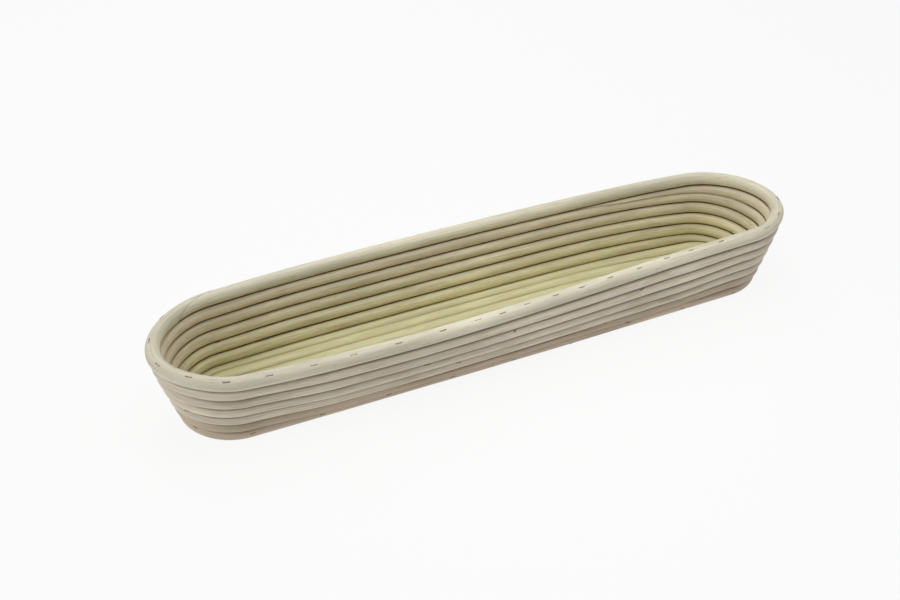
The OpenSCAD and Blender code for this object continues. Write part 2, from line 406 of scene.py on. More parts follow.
    def oval(self, level: np.ndarray, s: np.ndarray) -> np.ndarray:
        """Gives the plan of a level: two round ends and two bowed sides, the near one swollen by hand.

        Args:
            level: Levels, whole or part way to the next.
            s: Places in the turn, from 0 to 4.

        Returns:
            Points of shape (n, 2).
        """
        half = self.end_spacing / 2
        reach = self.reach(level, s)
        share = self.wall_share(level)
        bow = self.floor_bow + (self.rim_bow - self.floor_bow) * share
        part = np.floor(s)
        t = s - part
        arc = (half ** 2 + bow ** 2) / (2 * bow)
        turn = 2 * np.arctan(bow / half)
        side = turn * np.where(part == TurnPart.FAR_SIDE, 1 - 2 * t, 2 * t - 1)
        side_x = (reach + arc) * np.sin(side)
        side_y = (reach + arc) * np.cos(side) - arc + bow
        bend = turn + (math.pi - 2 * turn) * t
        bend = bend + np.where(part == TurnPart.LEFT_END, math.pi / 2, -math.pi / 2)
        middle = np.where(part == TurnPart.LEFT_END, -half, half)
        on_side = (part == TurnPart.FAR_SIDE) | (part == TurnPart.NEAR_SIDE)
        x = np.where(on_side, side_x, middle + reach * np.cos(bend))
        near = np.where(part == TurnPart.NEAR_SIDE, -1, 1)
        y = np.where(on_side, near * side_y, reach * np.sin(bend))
        u = x / (half + reach)
        swell = np.where(y < 0, self.near_swell * share * CUBIC_PEAK * u * (1 - u * u), 0)
        past_point = (self.from_tip(s) - self.point_length) / self.turn_fade
        turned = self.end_turn * share * (1 - eased(past_point))
        return np.stack([x, y + swell - turned], axis=1)

    def plan(self, level: np.ndarray, s: np.ndarray) -> np.ndarray:
        """Gives the plan of a level in the basket's own place."""
        return self.oval(level, s) + [0, self.middle_shift]

    def points(self, level: np.ndarray, s: np.ndarray) -> np.ndarray:
        """Gives points on the middle of the cane, each level one pitch from the level below.

        Args:
            level: Levels, whole or part way to the next.
            s: Places in the turn, from 0 to 4.

        Returns:
            Points of shape (n, 3).
        """
        first = level - np.floor(level)
        height = np.full_like(level, self.cane * self.rest_share)
        below = self.plan(first, s)
        for k in range(1, self.rim_level + 1):
            here = self.plan(first + k, s)
            reach = np.linalg.norm(here - below, axis=1)
            rise = np.sqrt(np.maximum(0, self.pitch(first + k) ** 2 - reach ** 2))
            height = height + np.where(k <= np.floor(level), rise, 0)
            below = here
        return np.column_stack([self.plan(level, s), height])

    def coil_points(self, place: np.ndarray) -> np.ndarray:
        """Gives points of the coil."""
        return self.points(self.level(place), self.wrapped(place))

    def round_points(self, level: int, place: np.ndarray) -> np.ndarray:
        """Gives points of a whole level, such as the rim."""
        return self.points(np.full_like(place, level), self.wrapped(place))


@dataclass(frozen=True)
class CanePath:
    """The line that a cane follows: the coil, or the rim on top of it.

    The radii are a little larger than those of the solids, so that the rounds touch.
    """

    form: CoilForm
    on_rim: bool = False
    floor_radius: float = 4.83
    edge_radius: float = 4.68
    wall_radius: float = 4.51
    floor_bulge: float = 0.55
    climb_bulge: float = 0.22
    rim_radius: float = 4.68
    wobble: float = 0.12
    # Rate and phase of each of the slight waves
    waves: tuple[Span, ...] = ((7.3, 0.4), (12.1, 2.0), (17.9, 4.1))
    # Half the distance, in places, over which the direction is taken
    step: float = 0.002

    def even(self, place: np.ndarray) -> np.ndarray:
        """Gives points on the middle of the cane as the rule has them."""
        return (self.form.round_points(self.form.rim_level, place) if self.on_rim
                else self.form.coil_points(place))

    def heading(self, place: np.ndarray) -> np.ndarray:
        """Gives the direction along the cane."""
        along = self.even(place + self.step) - self.even(place - self.step)
        return along / np.linalg.norm(along, axis=1)[:, None]

    def outward(self, place: np.ndarray) -> np.ndarray:
        """Gives the direction straight out from the cane, level with the floor.

        Args:
            place: Places along the coil.

        Returns:
            Unit vectors.
        """
        along = self.heading(place)
        out = np.column_stack([along[:, 1], -along[:, 0], np.zeros(len(place))])
        return out / np.linalg.norm(out, axis=1)[:, None]

    def middle(self, place: np.ndarray) -> np.ndarray:
        """Gives points on the middle of the cane, with the slight waves that a hand leaves in it."""
        wave = sum(np.sin(rate * place + phase) for rate, phase in self.waves) / len(self.waves)
        return self.even(place) + self.outward(place) * (self.wobble * wave)[:, None]

    def radius(self, place: np.ndarray) -> np.ndarray:
        """Gives the radius of the cane, fuller in the floor and where it climbs from there to the wall.

        Args:
            place: Places along the coil.

        Returns:
            The radii, which close the wider gaps between the loops there.
        """
        if self.on_rim:
            return np.full_like(place, self.rim_radius)
        level, base = self.form.level(place), self.form.base_level
        even = np.interp(level, [base - 1, base, base + 1],
                         [self.floor_radius, self.edge_radius, self.wall_radius])
        climbing = np.where(level < base + 1, np.sin(np.pi * (level - np.floor(level))), 0)
        # From the middle of a climb within the floor to the middle of the climb to the wall
        bulge = np.interp(level, [base - 1.5, base + 0.5], [self.floor_bulge, self.climb_bulge])
        return even + bulge * np.sqrt(np.clip(climbing, 0, 1))

    def round_below(self, place: np.ndarray) -> np.ndarray:
        """Gives points on the middle of the round that the cane is stapled to."""
        return (self.form.round_points(self.form.top_level, place) if self.on_rim
                else self.form.coil_points(place - self.form.parts))

    def round_above(self, place: np.ndarray) -> np.ndarray:
        """Gives points on the middle of the round that lies on the cane, for the rim the one below it.

        Args:
            place: Places along the coil.

        Returns:
            Points of shape (n, 3).
        """
        if self.on_rim:
            return self.round_below(place)
        on_top = place + self.form.parts > self.form.coil_end
        rim = self.form.round_points(self.form.rim_level, place)
        return np.where(on_top[:, None], rim, self.form.coil_points(place + self.form.parts))

    def tilt(self, place: np.ndarray) -> np.ndarray:
        """Gives the angle of the cane's outer side, square to the line to its neighbour.

        Args:
            place: Places along the coil.

        Returns:
            The angles about the cane, up from the way out of the basket.
        """
        angle = self.angle_to(place, self.round_above(place))
        return angle + math.pi / 2 if self.on_rim else angle - math.pi / 2

    def angle_to(self, place: np.ndarray, other: np.ndarray) -> np.ndarray:
        """Gives the angle of other points round the cane, from straight out towards up, in radians."""
        away = other - self.even(place)
        return np.arctan2(away[:, 2], np.sum(away * self.outward(place), axis=1))

    def below_angle(self, place: np.ndarray) -> np.ndarray:
        """Gives the angle of the round below. The first loop of the floor lies against itself."""
        angle = self.angle_to(place, self.round_below(place))
        return angle if self.on_rim else np.where(place < self.form.parts, math.pi, angle)


@dataclass(frozen=True)
class RattanFinish:
    """Peeled rattan core, dried and bare: pale, dull, with fine fibres along the cane and little bark.

    The colours are for the outer side of a round, for its inner side, which is yellower in part as painted
    light bounced between the yellow canes, for both sides low in the basket, for the darker fibres, for
    bruises, for the painted shade in the grooves of either side, for the rest of the bark, for the foot
    that the basket stands on and for the marks of staples and knots, which at the staples are partly
    painted shade of the dents. A share is how much of such a colour shows at the most.
    """

    name: str
    outside: str
    inside: str
    low_outside: str
    low_inside: str
    fibre: str
    bruise: str
    outer_groove: str
    inner_groove: str
    bark: str = "#6b3a20"
    foot: str = "#d6c5b1"
    mark: str = "#7d7052"
    fibre_share: float = 0.4
    bruise_share: float = 0.3
    fleck_share: float = 0.3
    # Strength of the painted shade in the grooves, outside and inside
    outer_groove_shade: float = 0.58
    inner_groove_shade: float = 0.95
    bark_share: float = 0.95
    mark_share: float = 0.9
    # Heights between which the low colours, and the foot's, give way to the others
    outside_fade: Span = (6.0, 20.0)
    inside_fade: Span = (12.6, 42.0)
    foot_fade: Span = (5.0, 10.0)
    # Cosines of the angle from the middle of the outer side between which the inner side turns into it
    side_edge: Span = (-0.15, 0.15)
    # Cosines of the angle from a neighbouring round between which the painted groove shade and the bark
    # come in
    inner_shade_edge: Span = (0.79, 0.98)
    outer_shade_edge: Span = (0.7, 0.93)
    bark_edge: Span = (0.55, 0.85)
    # Noise between which each pattern comes in, and the range of brightness of the patches
    fibre_edge: Span = (0.48, 0.72)
    bruise_edge: Span = (0.52, 0.7)
    fleck_edge: Span = (0.66, 0.76)
    patch_levels: Span = (0.85, 1.12)
    # Length, width and detail of each pattern. Real fibres are about 0.3 mm wide, too fine for the
    # picture, so they are drawn coarser.
    fibre_size: Pattern = (45.0, 0.9, 3.0)
    patch_size: Pattern = (80.0, 9.0, 2.0)
    fleck_size: Pattern = (9.0, 0.6, 1.0)
    bruise_size: Pattern = (26.0, 5.0, 2.0)
    noise_roughness: float = 0.6
    # A mark is a hole at each end and a line between them, both with soft edges.
    mark_reach: float = 1.9
    mark_hole: Span = (0.3, 0.6)
    mark_line: Span = (0.252, 0.588)
    roughness: Span = (0.42, 0.6)
    gloss: float = 0.5
    ior: float = 1.45
    bump: float = 0.12
    bump_strength: float = 0.5

    def material(self) -> bpy.types.Material:
        """Builds the material.

        Returns:
            The material, which reads the attributes that the cane sweep stores.
        """
        material, add, shader = new_material(self.name)
        grain, mark = (add("ShaderNodeAttribute", attribute_name=name).outputs["Vector"]
                       for name in ("grain", "mark"))
        facing, groove, bark, shown = (add("ShaderNodeAttribute", attribute_name=name).outputs["Fac"]
                                       for name in ("facing", "groove", "bark", "shown"))
        spot = add("ShaderNodeTexCoord").outputs["Object"]
        height = add("ShaderNodeSeparateXYZ", {0: spot}).outputs["Z"]
        fibre, patch, fleck, bruise = (
            add("ShaderNodeTexNoise", {
                "Vector": add("ShaderNodeVectorMath", {
                    0: grain, 1: [1 / (size * MM) for size in (length, width, width)]},
                    operation="MULTIPLY"),
                "Scale": 1.0, "Detail": detail, "Roughness": self.noise_roughness})
            for length, width, detail in (
                self.fibre_size, self.patch_size, self.fleck_size, self.bruise_size))

        # The inner side is yellower than the outer, most of all low in the basket, in part as painted light
        # bounced between the yellow canes. The low outer side is browner.
        outer = add("ShaderNodeMapRange", {
            "Value": facing, "From Min": self.side_edge[0], "From Max": self.side_edge[1]})
        outer_high, inner_high, off_foot = (
            add("ShaderNodeMapRange", {"Value": height, "From Min": low * MM, "From Max": high * MM})
            for low, high in (self.outside_fade, self.inside_fade, self.foot_fade))
        low_outside = add("ShaderNodeMix", {
            "Factor": off_foot, "A": linear(self.foot), "B": linear(self.low_outside)}, data_type="RGBA")
        outside = add("ShaderNodeMix", {
            "Factor": outer_high, "A": low_outside, "B": linear(self.outside)}, data_type="RGBA")
        inside = add("ShaderNodeMix", {
            "Factor": inner_high, "A": linear(self.low_inside), "B": linear(self.inside)}, data_type="RGBA")
        base = add("ShaderNodeMix", {"Factor": outer, "A": inside, "B": outside}, data_type="RGBA")

        # Patches lighten and darken the cane slowly along its length. Bruises dull it, fibres streak it
        # and flecks dot it.
        patch_level, rough = (
            add("ShaderNodeMapRange", {
                "Value": noise, "From Min": NOISE_SPAN[0], "From Max": NOISE_SPAN[1],
                "To Min": low, "To Max": high})
            for noise, (low, high) in ((patch, self.patch_levels), (fibre, self.roughness)))
        colour = add("ShaderNodeVectorMath", {0: base, "Scale": patch_level}, operation="SCALE")
        for noise, (low, high), share, tint in (
                (bruise, self.bruise_edge, self.bruise_share, self.bruise),
                (fibre, self.fibre_edge, self.fibre_share, self.fibre),
                (fleck, self.fleck_edge, self.fleck_share, self.inner_groove)):
            amount = add("ShaderNodeMapRange", {
                "Value": noise, "From Min": low, "From Max": high, "To Max": share})
            colour = add("ShaderNodeMix", {
                "Factor": amount, "A": colour, "B": linear(tint)}, data_type="RGBA")

        # Painted shade darkens where two rounds meet: a thin dark line inside, a wider and paler one
        # outside.
        # Where the bark was left on, the groove is red-brown.
        thin, wide, bark_level = (
            add("ShaderNodeMapRange", {
                "Value": groove, "From Min": low, "From Max": high, "To Max": share},
                interpolation_type=easing)
            for (low, high), share, easing in (
                (self.inner_shade_edge, self.inner_groove_shade, "SMOOTHSTEP"),
                (self.outer_shade_edge, self.outer_groove_shade, "SMOOTHSTEP"),
                (self.bark_edge, self.bark_share, "LINEAR")))
        groove_shade = add("ShaderNodeMix", {"Factor": outer, "A": thin, "B": wide}, data_type="FLOAT")
        barked = add("ShaderNodeMath", {0: bark_level, 1: bark}, operation="MULTIPLY")
        shade_and_bark = add("ShaderNodeMath", {0: groove_shade, 1: barked}, operation="MAXIMUM")
        groove_shade_colour = add("ShaderNodeMix", {
            "Factor": outer, "A": linear(self.inner_groove), "B": linear(self.outer_groove)},
            data_type="RGBA")
        bark_colour = add("ShaderNodeMix", {
            "Factor": bark, "A": groove_shade_colour, "B": linear(self.bark)}, data_type="RGBA")
        shaded_colour = add("ShaderNodeMix", {"Factor": shade_and_bark, "A": colour, "B": bark_colour}, data_type="RGBA")

        # Each staple leaves two holes, and a dark line where its crown is not covered by fibres. Both are
        # partly painted shade of the dent under the crown.
        mirrored = add("ShaderNodeVectorMath", {0: mark}, operation="ABSOLUTE")
        sides = add("ShaderNodeSeparateXYZ", {0: mirrored}).outputs
        from_hole = add("ShaderNodeVectorMath", {0: mirrored, 1: (self.mark_reach * MM, 0.0, 0.0)},
                        operation="DISTANCE")
        hole, beside = (
            add("ShaderNodeMapRange", {
                "Value": distance, "From Min": near * MM, "From Max": far * MM,
                "To Min": share, "To Max": 0.0})
            for distance, (near, far), share in (
                (from_hole, self.mark_hole, self.mark_share), (sides["Y"], self.mark_line, 1.0)))
        within = add("ShaderNodeMath", {0: sides["X"], 1: self.mark_reach * MM}, operation="LESS_THAN")
        line = add("ShaderNodeMath", {0: beside, 1: within}, operation="MULTIPLY")
        line_shown = add("ShaderNodeMath", {0: line, 1: shown}, operation="MULTIPLY")
        mark_and_dent_shade = add("ShaderNodeMath", {0: hole, 1: line_shown}, operation="MAXIMUM")
        marked = add("ShaderNodeMix", {
            "Factor": mark_and_dent_shade, "A": shaded_colour, "B": linear(self.mark)}, data_type="RGBA")

        sheen = add("ShaderNodeMapRange", {"Value": shade_and_bark, "To Min": self.gloss, "To Max": 0.0})
        relief = add("ShaderNodeMath", {0: fibre, 1: fleck}, operation="SUBTRACT")
        bump = add("ShaderNodeBump", {
            "Height": relief, "Strength": self.bump_strength, "Distance": self.bump * MM})
        set_inputs(shader, {"Base Color": marked, "Roughness": rough, "Specular IOR Level": sheen,
                            "IOR": self.ior, "Normal": bump})
        return material


@dataclass(frozen=True)
class WireFinish:
    """Galvanised steel wire, flattened and bent: dull, dark with age, brighter where it is rubbed."""

    name: str = "galvanised_staple_wire"
    bright: str = "#b5a98a"
    dark: str = "#7d7152"
    blotch: float = 1.5
    worn_edge: Span = (0.45, 0.75)
    roughness: Span = (0.7, 0.45)
    metallic: float = 0.6

    def material(self) -> bpy.types.Material:
        """Builds the material.

        Returns:
            The material.
        """
        material, add, shader = new_material(self.name)
        spot = add("ShaderNodeTexCoord").outputs["Object"]
        noise = add("ShaderNodeTexNoise", {
            "Vector": spot, "Scale": 1 / (self.blotch * MM), "Detail": 2.0})
        worn = add("ShaderNodeMapRange", {
            "Value": noise, "From Min": self.worn_edge[0], "From Max": self.worn_edge[1]})
        colour = add("ShaderNodeMix", {
            "Factor": worn, "A": linear(self.dark), "B": linear(self.bright)}, data_type="RGBA")
        rough = add("ShaderNodeMapRange", {
            "Value": noise, "To Min": self.roughness[0], "To Max": self.roughness[1]})
        set_inputs(shader, {"Base Color": colour, "Roughness": rough, "Metallic": self.metallic})
        return material


@dataclass(frozen=True)
class CaneEnd:
    """A slanted end of a cane.

    Attributes:
        tip: Place of the tip on the coil.
        side: Side that is cut away.
        places: Places between which the depth of the cut is given.
        depths: Distance of the cut from the middle of the cane at those places, in millimetres.
    """

    tip: float
    side: CutFrom
    places: Sequence[float]
    depths: Sequence[float]

    def depth(self, place: np.ndarray) -> np.ndarray:
        """Gives the distance of the cut from the middle of the cane."""
        return np.interp(place, self.places, self.depths)


@dataclass(frozen=True)
class Marks:
    """Small dark marks on a cane, left by staples or knots. At a staple they are partly painted shade of
    its dent.

    Attributes:
        places: Places of the marks on the coil, in rising order.
        angles: Angles round the cane, from straight out towards up, in radians.
        shown: How dark the line of each mark is, from 0 to 1.
        dented: Whether the cane is pressed in at the marks.
    """

    places: np.ndarray
    angles: np.ndarray
    shown: np.ndarray
    dented: bool = False

    def between(self, start: float, end: float) -> "Marks":
        """Gives the marks between two places."""
        own = (self.places > start) & (self.places < end)
        return Marks(self.places[own], self.angles[own], self.shown[own], self.dented)


@dataclass(frozen=True)
class BarkStrip:
    """A stretch of the coil with bark left on its upper edge, paler towards both of its ends.

    Attributes:
        start: Place where it starts.
        end: Place where it ends.
        fade: Part of it in which it pales at either end.
    """

    start: float
    end: float
    fade: float = 0.25

    def share(self, place: np.ndarray) -> np.ndarray:
        """Gives how much bark there is at a place, from 0 to 1."""
        t = (place - self.start) / (self.end - self.start)
        return eased(t / self.fade) * eased((1 - t) / self.fade)


@dataclass
class Cane:
    """One cane of the basket, swept along its part of the coil with a slanted end at each tip."""

    node: str
    slot: str
    path: CanePath
    start: CaneEnd
    end: CaneEnd
    marks: Marks
    bark: Sequence[BarkStrip] = ()
    seed: int = 0
    sides: int = 44
    ring_spacing: float = 2.5
    wander: float = 0.016
    wander_length: float = 60.0
    fibre_relief: float = 0.05
    dent: float = 0.22
    dent_length: float = 3.6
    dent_width: float = 1.3
    # Rings at a dent, in parts of its length, and how far they stay from other rings and from the tips
    dent_rings: tuple[float, ...] = (-1, -0.7, -0.35, 0, 0.35, 0.7, 1)
    ring_clear: float = 0.5
    length_steps: int = 6000
    far_off: float = 1000.0

    @property
    def own_marks(self) -> Marks:
        """Marks between the cane's tips."""
        return self.marks.between(self.start.tip, self.end.tip)

    def ring_places(self) -> np.ndarray:
        """Gives the places of the rings, evenly spaced along the cane and closer at dents.

        Returns:
            The places, in rising order.
        """
        fine = np.linspace(self.start.tip, self.end.tip, self.length_steps)
        along = self.lengths(fine)
        rings = np.linspace(0, along[-1], int(along[-1] / self.ring_spacing))
        if self.marks.dented:
            spots = np.interp(self.own_marks.places, fine, along)
            close = (spots[:, None] + self.dent_length * np.array(self.dent_rings)).ravel()
            inside = (close > self.ring_clear) & (close < along[-1] - self.ring_clear)
            clear = np.min(np.abs(rings[:, None] - spots), axis=1) > self.dent_length + self.ring_clear
            clear[[0, -1]] = True
            rings = np.sort(np.concatenate([rings[clear], close[inside]]))
        return np.interp(rings, along, fine)

    def lengths(self, place: np.ndarray) -> np.ndarray:
        """Gives the length of the cane from its start to each of a row of places."""
        steps = np.linalg.norm(np.diff(self.path.middle(place), axis=0), axis=1)
        return np.concatenate([[0], np.cumsum(steps)])

    def thickness(self, place: np.ndarray, along: np.ndarray) -> np.ndarray:
        """Gives the radius of the cane, which wanders slowly along it.

        Args:
            place: Places of the rings.
            along: Lengths of the cane up to them.

        Returns:
            The radii.
        """
        knots = np.arange(-1, along[-1] / self.wander_length + 2)
        levels = np.random.default_rng(self.seed).uniform(-1, 1, len(knots))
        t = along / self.wander_length
        low = np.floor(t)
        eased_t = low + smooth_step(t - low)
        return self.path.radius(place) * (1 + self.wander * np.interp(eased_t, knots, levels))

    def spine(self) -> bpy.types.Mesh:
        """Builds the line that the cane follows, with the shape of each ring in its attributes.

        Returns:
            A mesh of points in a row joined by edges, in metres.
        """
        place, path = self.ring_places(), self.path
        along = self.lengths(place)
        at_start = place < (self.start.tip + self.end.tip) / 2
        marks = self.own_marks
        # One more mark, far off, stands in on a cane that has none.
        spots = np.append(np.interp(marks.places, place, along), along[-1] + self.far_off)
        nearest = np.argmin(np.abs(along[:, None] - spots), axis=1)
        values = {
            "ring_middle": path.middle(place) * MM,
            "ring_out": path.outward(place),
            "ring_thick": self.thickness(place, along) * MM,
            "ring_along": along * MM,
            "ring_below": path.below_angle(place),
            "ring_above": path.angle_to(place, path.round_above(place)),
            "ring_tilt": path.tilt(place),
            "ring_cut": np.where(at_start, self.start.depth(place), self.end.depth(place)) * MM,
            "ring_cut_angle": np.radians(np.where(at_start, self.start.side.value, self.end.side.value)),
            "ring_mark": np.abs(along - spots[nearest]) * MM,
            "ring_mark_angle": np.append(marks.angles, 0)[nearest],
            "shown": np.append(marks.shown, 0)[nearest],
            "ring_bark": sum((strip.share(place) for strip in self.bark), np.zeros(len(place))),
        }
        mesh = bpy.data.meshes.new(self.node + "_spine")
        edges = [(i, i + 1) for i in range(len(place) - 1)]
        mesh.from_pydata(values["ring_middle"].tolist(), edges, [])
        store(mesh, values)
        return mesh

    def build(self, tree: bpy.types.NodeTree, material: bpy.types.Material) -> bpy.types.Object:
        """Sweeps the cane, and puts it in place of its solid.

        Args:
            tree: The cane sweep.
            material: The rattan of this cane.

        Returns:
            The finished piece.
        """
        piece = grown(self.node + "_rattan", self.spine(), tree, {
            "Sides": self.sides, "Fibre relief": self.fibre_relief * MM,
            "Dent": self.dent * MM if self.marks.dented else 0.0, "Dent length": self.dent_length * MM,
            "Dent width": self.dent_width * MM, "Seed": float(self.seed), "Material": material})
        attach(piece, "root")
        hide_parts(self.node)
        return piece


def new_tree(name: str, numbers: Sequence[str], counts: Sequence[str]) -> bpy.types.NodeTree:
    """Starts a Geometry Nodes tree with a geometry, named sizes and a material going in.

    Args:
        name: Name of the tree.
        numbers: Names of its sizes.
        counts: Names of its whole numbers.

    Returns:
        The tree, still without nodes.
    """
    tree = bpy.data.node_groups.new(name, "GeometryNodeTree")
    kinds = {"Geometry": "Geometry", **dict.fromkeys(numbers, "Float"), **dict.fromkeys(counts, "Int"),
             "Material": "Material"}
    for key, kind in kinds.items():
        tree.interface.new_socket(key, in_out="INPUT", socket_type="NodeSocket" + kind)
    tree.interface.new_socket("Geometry", in_out="OUTPUT", socket_type="NodeSocketGeometry")
    return tree


def grown(name: str, mesh: bpy.types.Mesh, tree: bpy.types.NodeTree,
          values: dict[str, object]) -> bpy.types.Object:
    """Runs a Geometry Nodes tree on a mesh and keeps the result as a plain mesh.

    Args:
        name: Name of the new piece.
        mesh: What goes into the tree.
        tree: The tree.
        values: Value of each named input.

    Returns:
        A linked object with the result as its mesh.
    """
    piece = linked(name, mesh)
    modifier = piece.modifiers.new(tree.name, "NODES")
    modifier.node_group = tree
    for item in tree.interface.items_tree:
        if item.in_out == "INPUT" and item.name in values:
            modifier[item.identifier] = values[item.name]
    evaluated = piece.evaluated_get(bpy.context.evaluated_depsgraph_get())
    result = bpy.data.meshes.new_from_object(evaluated)
    piece.modifiers.remove(modifier)
    piece.data = result
    result.name = name
    bpy.data.meshes.remove(mesh)
    return piece


def cane_sweep() -> bpy.types.NodeTree:
    """Builds the tree that sweeps a cane along its line.

    Each ring is a circle about the line, drawn in where it is cut or dented, and cut off level at the
    table. The tree stores where each point is in the straight cane, which the rattan reads.

    Returns:
        The tree.
    """
    tree = new_tree("cane_sweep", ("Fibre relief", "Dent", "Dent length", "Dent width", "Seed"), ("Sides",))
    add = partial(add_node, tree)
    given = add("NodeGroupInput").outputs
    names = ("thick", "along", "below", "above", "tilt", "cut", "cut_angle", "mark", "mark_angle", "bark")
    ring = {name: add("GeometryNodeInputNamedAttribute", {"Name": "ring_" + name}, data_type="FLOAT")
            for name in names}
    middle, out = (add("GeometryNodeInputNamedAttribute", {"Name": name}, data_type="FLOAT_VECTOR")
                   for name in ("ring_middle", "ring_out"))

    line = add("GeometryNodeMeshToCurve", {"Mesh": given["Geometry"]})
    circle = add("GeometryNodeCurvePrimitiveCircle", {"Resolution": given["Sides"], "Radius": MM})
    spot = add("ShaderNodeSeparateXYZ", {0: add("GeometryNodeInputPosition")}).outputs
    turn = add("ShaderNodeMath", {0: spot["Y"], 1: spot["X"]}, operation="ARCTAN2")
    profile = add("GeometryNodeStoreNamedAttribute", {
        "Geometry": circle, "Name": "ring_around", "Value": turn}, data_type="FLOAT", domain="POINT")
    tube = add("GeometryNodeCurveToMesh", {"Curve": line, "Profile Curve": profile, "Fill Caps": True})
    around = add("GeometryNodeInputNamedAttribute", {"Name": "ring_around"}, data_type="FLOAT")

    # The fibres stand out of the cane a little.
    cosine, sine = (add("ShaderNodeMath", {0: around}, operation=name) for name in ("COSINE", "SINE"))
    seeded = add("ShaderNodeMath", {0: ring["along"], 1: given["Seed"]}, operation="ADD")
    straight = add("ShaderNodeCombineXYZ", {"X": seeded, "Y": cosine, "Z": sine})
    fibres = add("ShaderNodeTexNoise", {
        "Vector": add("ShaderNodeVectorMath", {0: straight, 1: FIBRE_WAVES}, operation="MULTIPLY"),
        "Scale": 1.0, "Detail": 2.0})
    fibre_level = add("ShaderNodeMath", {0: fibres, 1: NOISE_MIDDLE}, operation="SUBTRACT")
    fibrous = add("ShaderNodeMath", {0: fibre_level, 1: given["Fibre relief"], 2: ring["thick"]},
                  operation="MULTIPLY_ADD")

    # A staple presses a shallow dent.
    mark_turn, turned = (
        add("ShaderNodeMath", {
            0: add("ShaderNodeMath", {0: around, 1: ring[name]}, operation="SUBTRACT"),
            1: math.pi, 2: -math.pi}, operation="WRAP")
        for name in ("mark_angle", "cut_angle"))
    mark_side = add("ShaderNodeMath", {0: mark_turn, 1: ring["thick"]}, operation="MULTIPLY")
    mark = add("ShaderNodeCombineXYZ", {"X": ring["mark"], "Y": mark_side})
    dent_size = add("ShaderNodeCombineXYZ", {
        "X": given["Dent length"], "Y": given["Dent width"], "Z": 1.0})
    dent_share = add("ShaderNodeVectorMath", {0: mark, 1: dent_size}, operation="DIVIDE")
    from_dent = add("ShaderNodeVectorMath", {0: dent_share}, operation="LENGTH")
    dent = add("ShaderNodeMapRange", {
        "Value": from_dent, "From Min": DENT_FLAT, "From Max": 1.0, "To Min": given["Dent"], "To Max": 0.0},
        interpolation_type="SMOOTHSTEP")
    radius = add("ShaderNodeMath", {0: fibrous, 1: dent}, operation="SUBTRACT")

    # A slanted end is a round section less what lies past a straight cut.
    share = add("ShaderNodeMath", {0: ring["cut"], 1: radius}, operation="DIVIDE")
    corner = add("ShaderNodeMath", {
        0: add("ShaderNodeClamp", {"Value": share, "Min": -1.0, "Max": 1.0})}, operation="ARCCOSINE")
    past_cut = add("ShaderNodeMath", {
        0: add("ShaderNodeMath", {0: turned}, operation="ABSOLUTE"), 1: corner}, operation="LESS_THAN")
    unit = add("ShaderNodeCombineXYZ", {
        axis: add("ShaderNodeMath", {0: turned}, operation=name)
        for axis, name in (("X", "COSINE"), ("Y", "SINE"))})
    on_round = add("ShaderNodeVectorMath", {0: unit, "Scale": radius}, operation="SCALE")
    half_chord = add("ShaderNodeMath", {
        0: radius, 1: add("ShaderNodeMath", {0: corner}, operation="SINE")}, operation="MULTIPLY")
    chord_share = add("ShaderNodeMath", {0: turned, 1: corner}, operation="DIVIDE")
    on_cut = add("ShaderNodeCombineXYZ", {
        "X": ring["cut"],
        "Y": add("ShaderNodeMath", {0: half_chord, 1: chord_share}, operation="MULTIPLY")})
    section = add("ShaderNodeMix", {"Factor": past_cut, "A": on_round, "B": on_cut}, data_type="VECTOR")
    swung = add("ShaderNodeVectorRotate", {"Vector": section, "Angle": ring["cut_angle"]},
                rotation_type="Z_AXIS")
    offset = add("ShaderNodeSeparateXYZ", {0: swung}).outputs

    sideways = add("ShaderNodeVectorMath", {0: out, "Scale": offset["X"]}, operation="SCALE")
    beside = add("ShaderNodeVectorMath", {0: middle, 1: sideways}, operation="ADD")
    lifted = add("ShaderNodeVectorMath", {
        0: beside, 1: add("ShaderNodeCombineXYZ", {"Z": offset["Y"]})}, operation="ADD")
    rested = add("ShaderNodeVectorMath", {0: lifted, 1: (-1.0, -1.0, 0.0)}, operation="MAXIMUM")
    shaped = add("GeometryNodeSetPosition", {"Geometry": tube, "Position": rested})

    # What the rattan reads: the point in the straight cane, its side, the groove and the nearest mark
    grain = add("ShaderNodeCombineXYZ", {"X": seeded, "Y": offset["X"], "Z": offset["Y"]})
    to_below, to_above, facing = (
        add("ShaderNodeMath", {
            0: add("ShaderNodeMath", {0: around, 1: ring[name]}, operation="SUBTRACT")}, operation="COSINE")
        for name in ("below", "above", "tilt"))
    groove = add("ShaderNodeMath", {0: to_below, 1: to_above}, operation="MAXIMUM")
    upper = add("ShaderNodeMath", {0: to_above, 1: to_below}, operation="GREATER_THAN")
    bark = add("ShaderNodeMath", {0: upper, 1: ring["bark"]}, operation="MULTIPLY")
    kept = shaped
    for name, value, data_type in (("grain", grain, "FLOAT_VECTOR"), ("mark", mark, "FLOAT_VECTOR"),
                                   ("facing", facing, "FLOAT"), ("groove", groove, "FLOAT"),
                                   ("bark", bark, "FLOAT")):
        kept = add("GeometryNodeStoreNamedAttribute", {"Geometry": kept, "Name": name, "Value": value},
                   data_type=data_type, domain="POINT")
    bare = add("GeometryNodeRemoveAttribute", {"Geometry": kept, "Name": "ring_*"},
               pattern_mode="WILDCARD")
    smooth = add("GeometryNodeSetShadeSmooth", {"Geometry": bare, "Shade Smooth": True}, domain="FACE")
    bend = add("GeometryNodeInputMeshEdgeAngle").outputs["Unsigned Angle"]
    sharp = add("FunctionNodeCompare", {"A": bend, "B": CREASE}, operation="GREATER_THAN")
    creased = add("GeometryNodeSetShadeSmooth", {
        "Geometry": smooth, "Selection": sharp, "Shade Smooth": False}, domain="EDGE")
    whole = add("GeometryNodeRealizeInstances", {"Geometry": creased})
    dressed = add("GeometryNodeSetMaterial", {"Geometry": whole, "Material": given["Material"]})
    add("NodeGroupOutput", {"Geometry": dressed})
    return tree


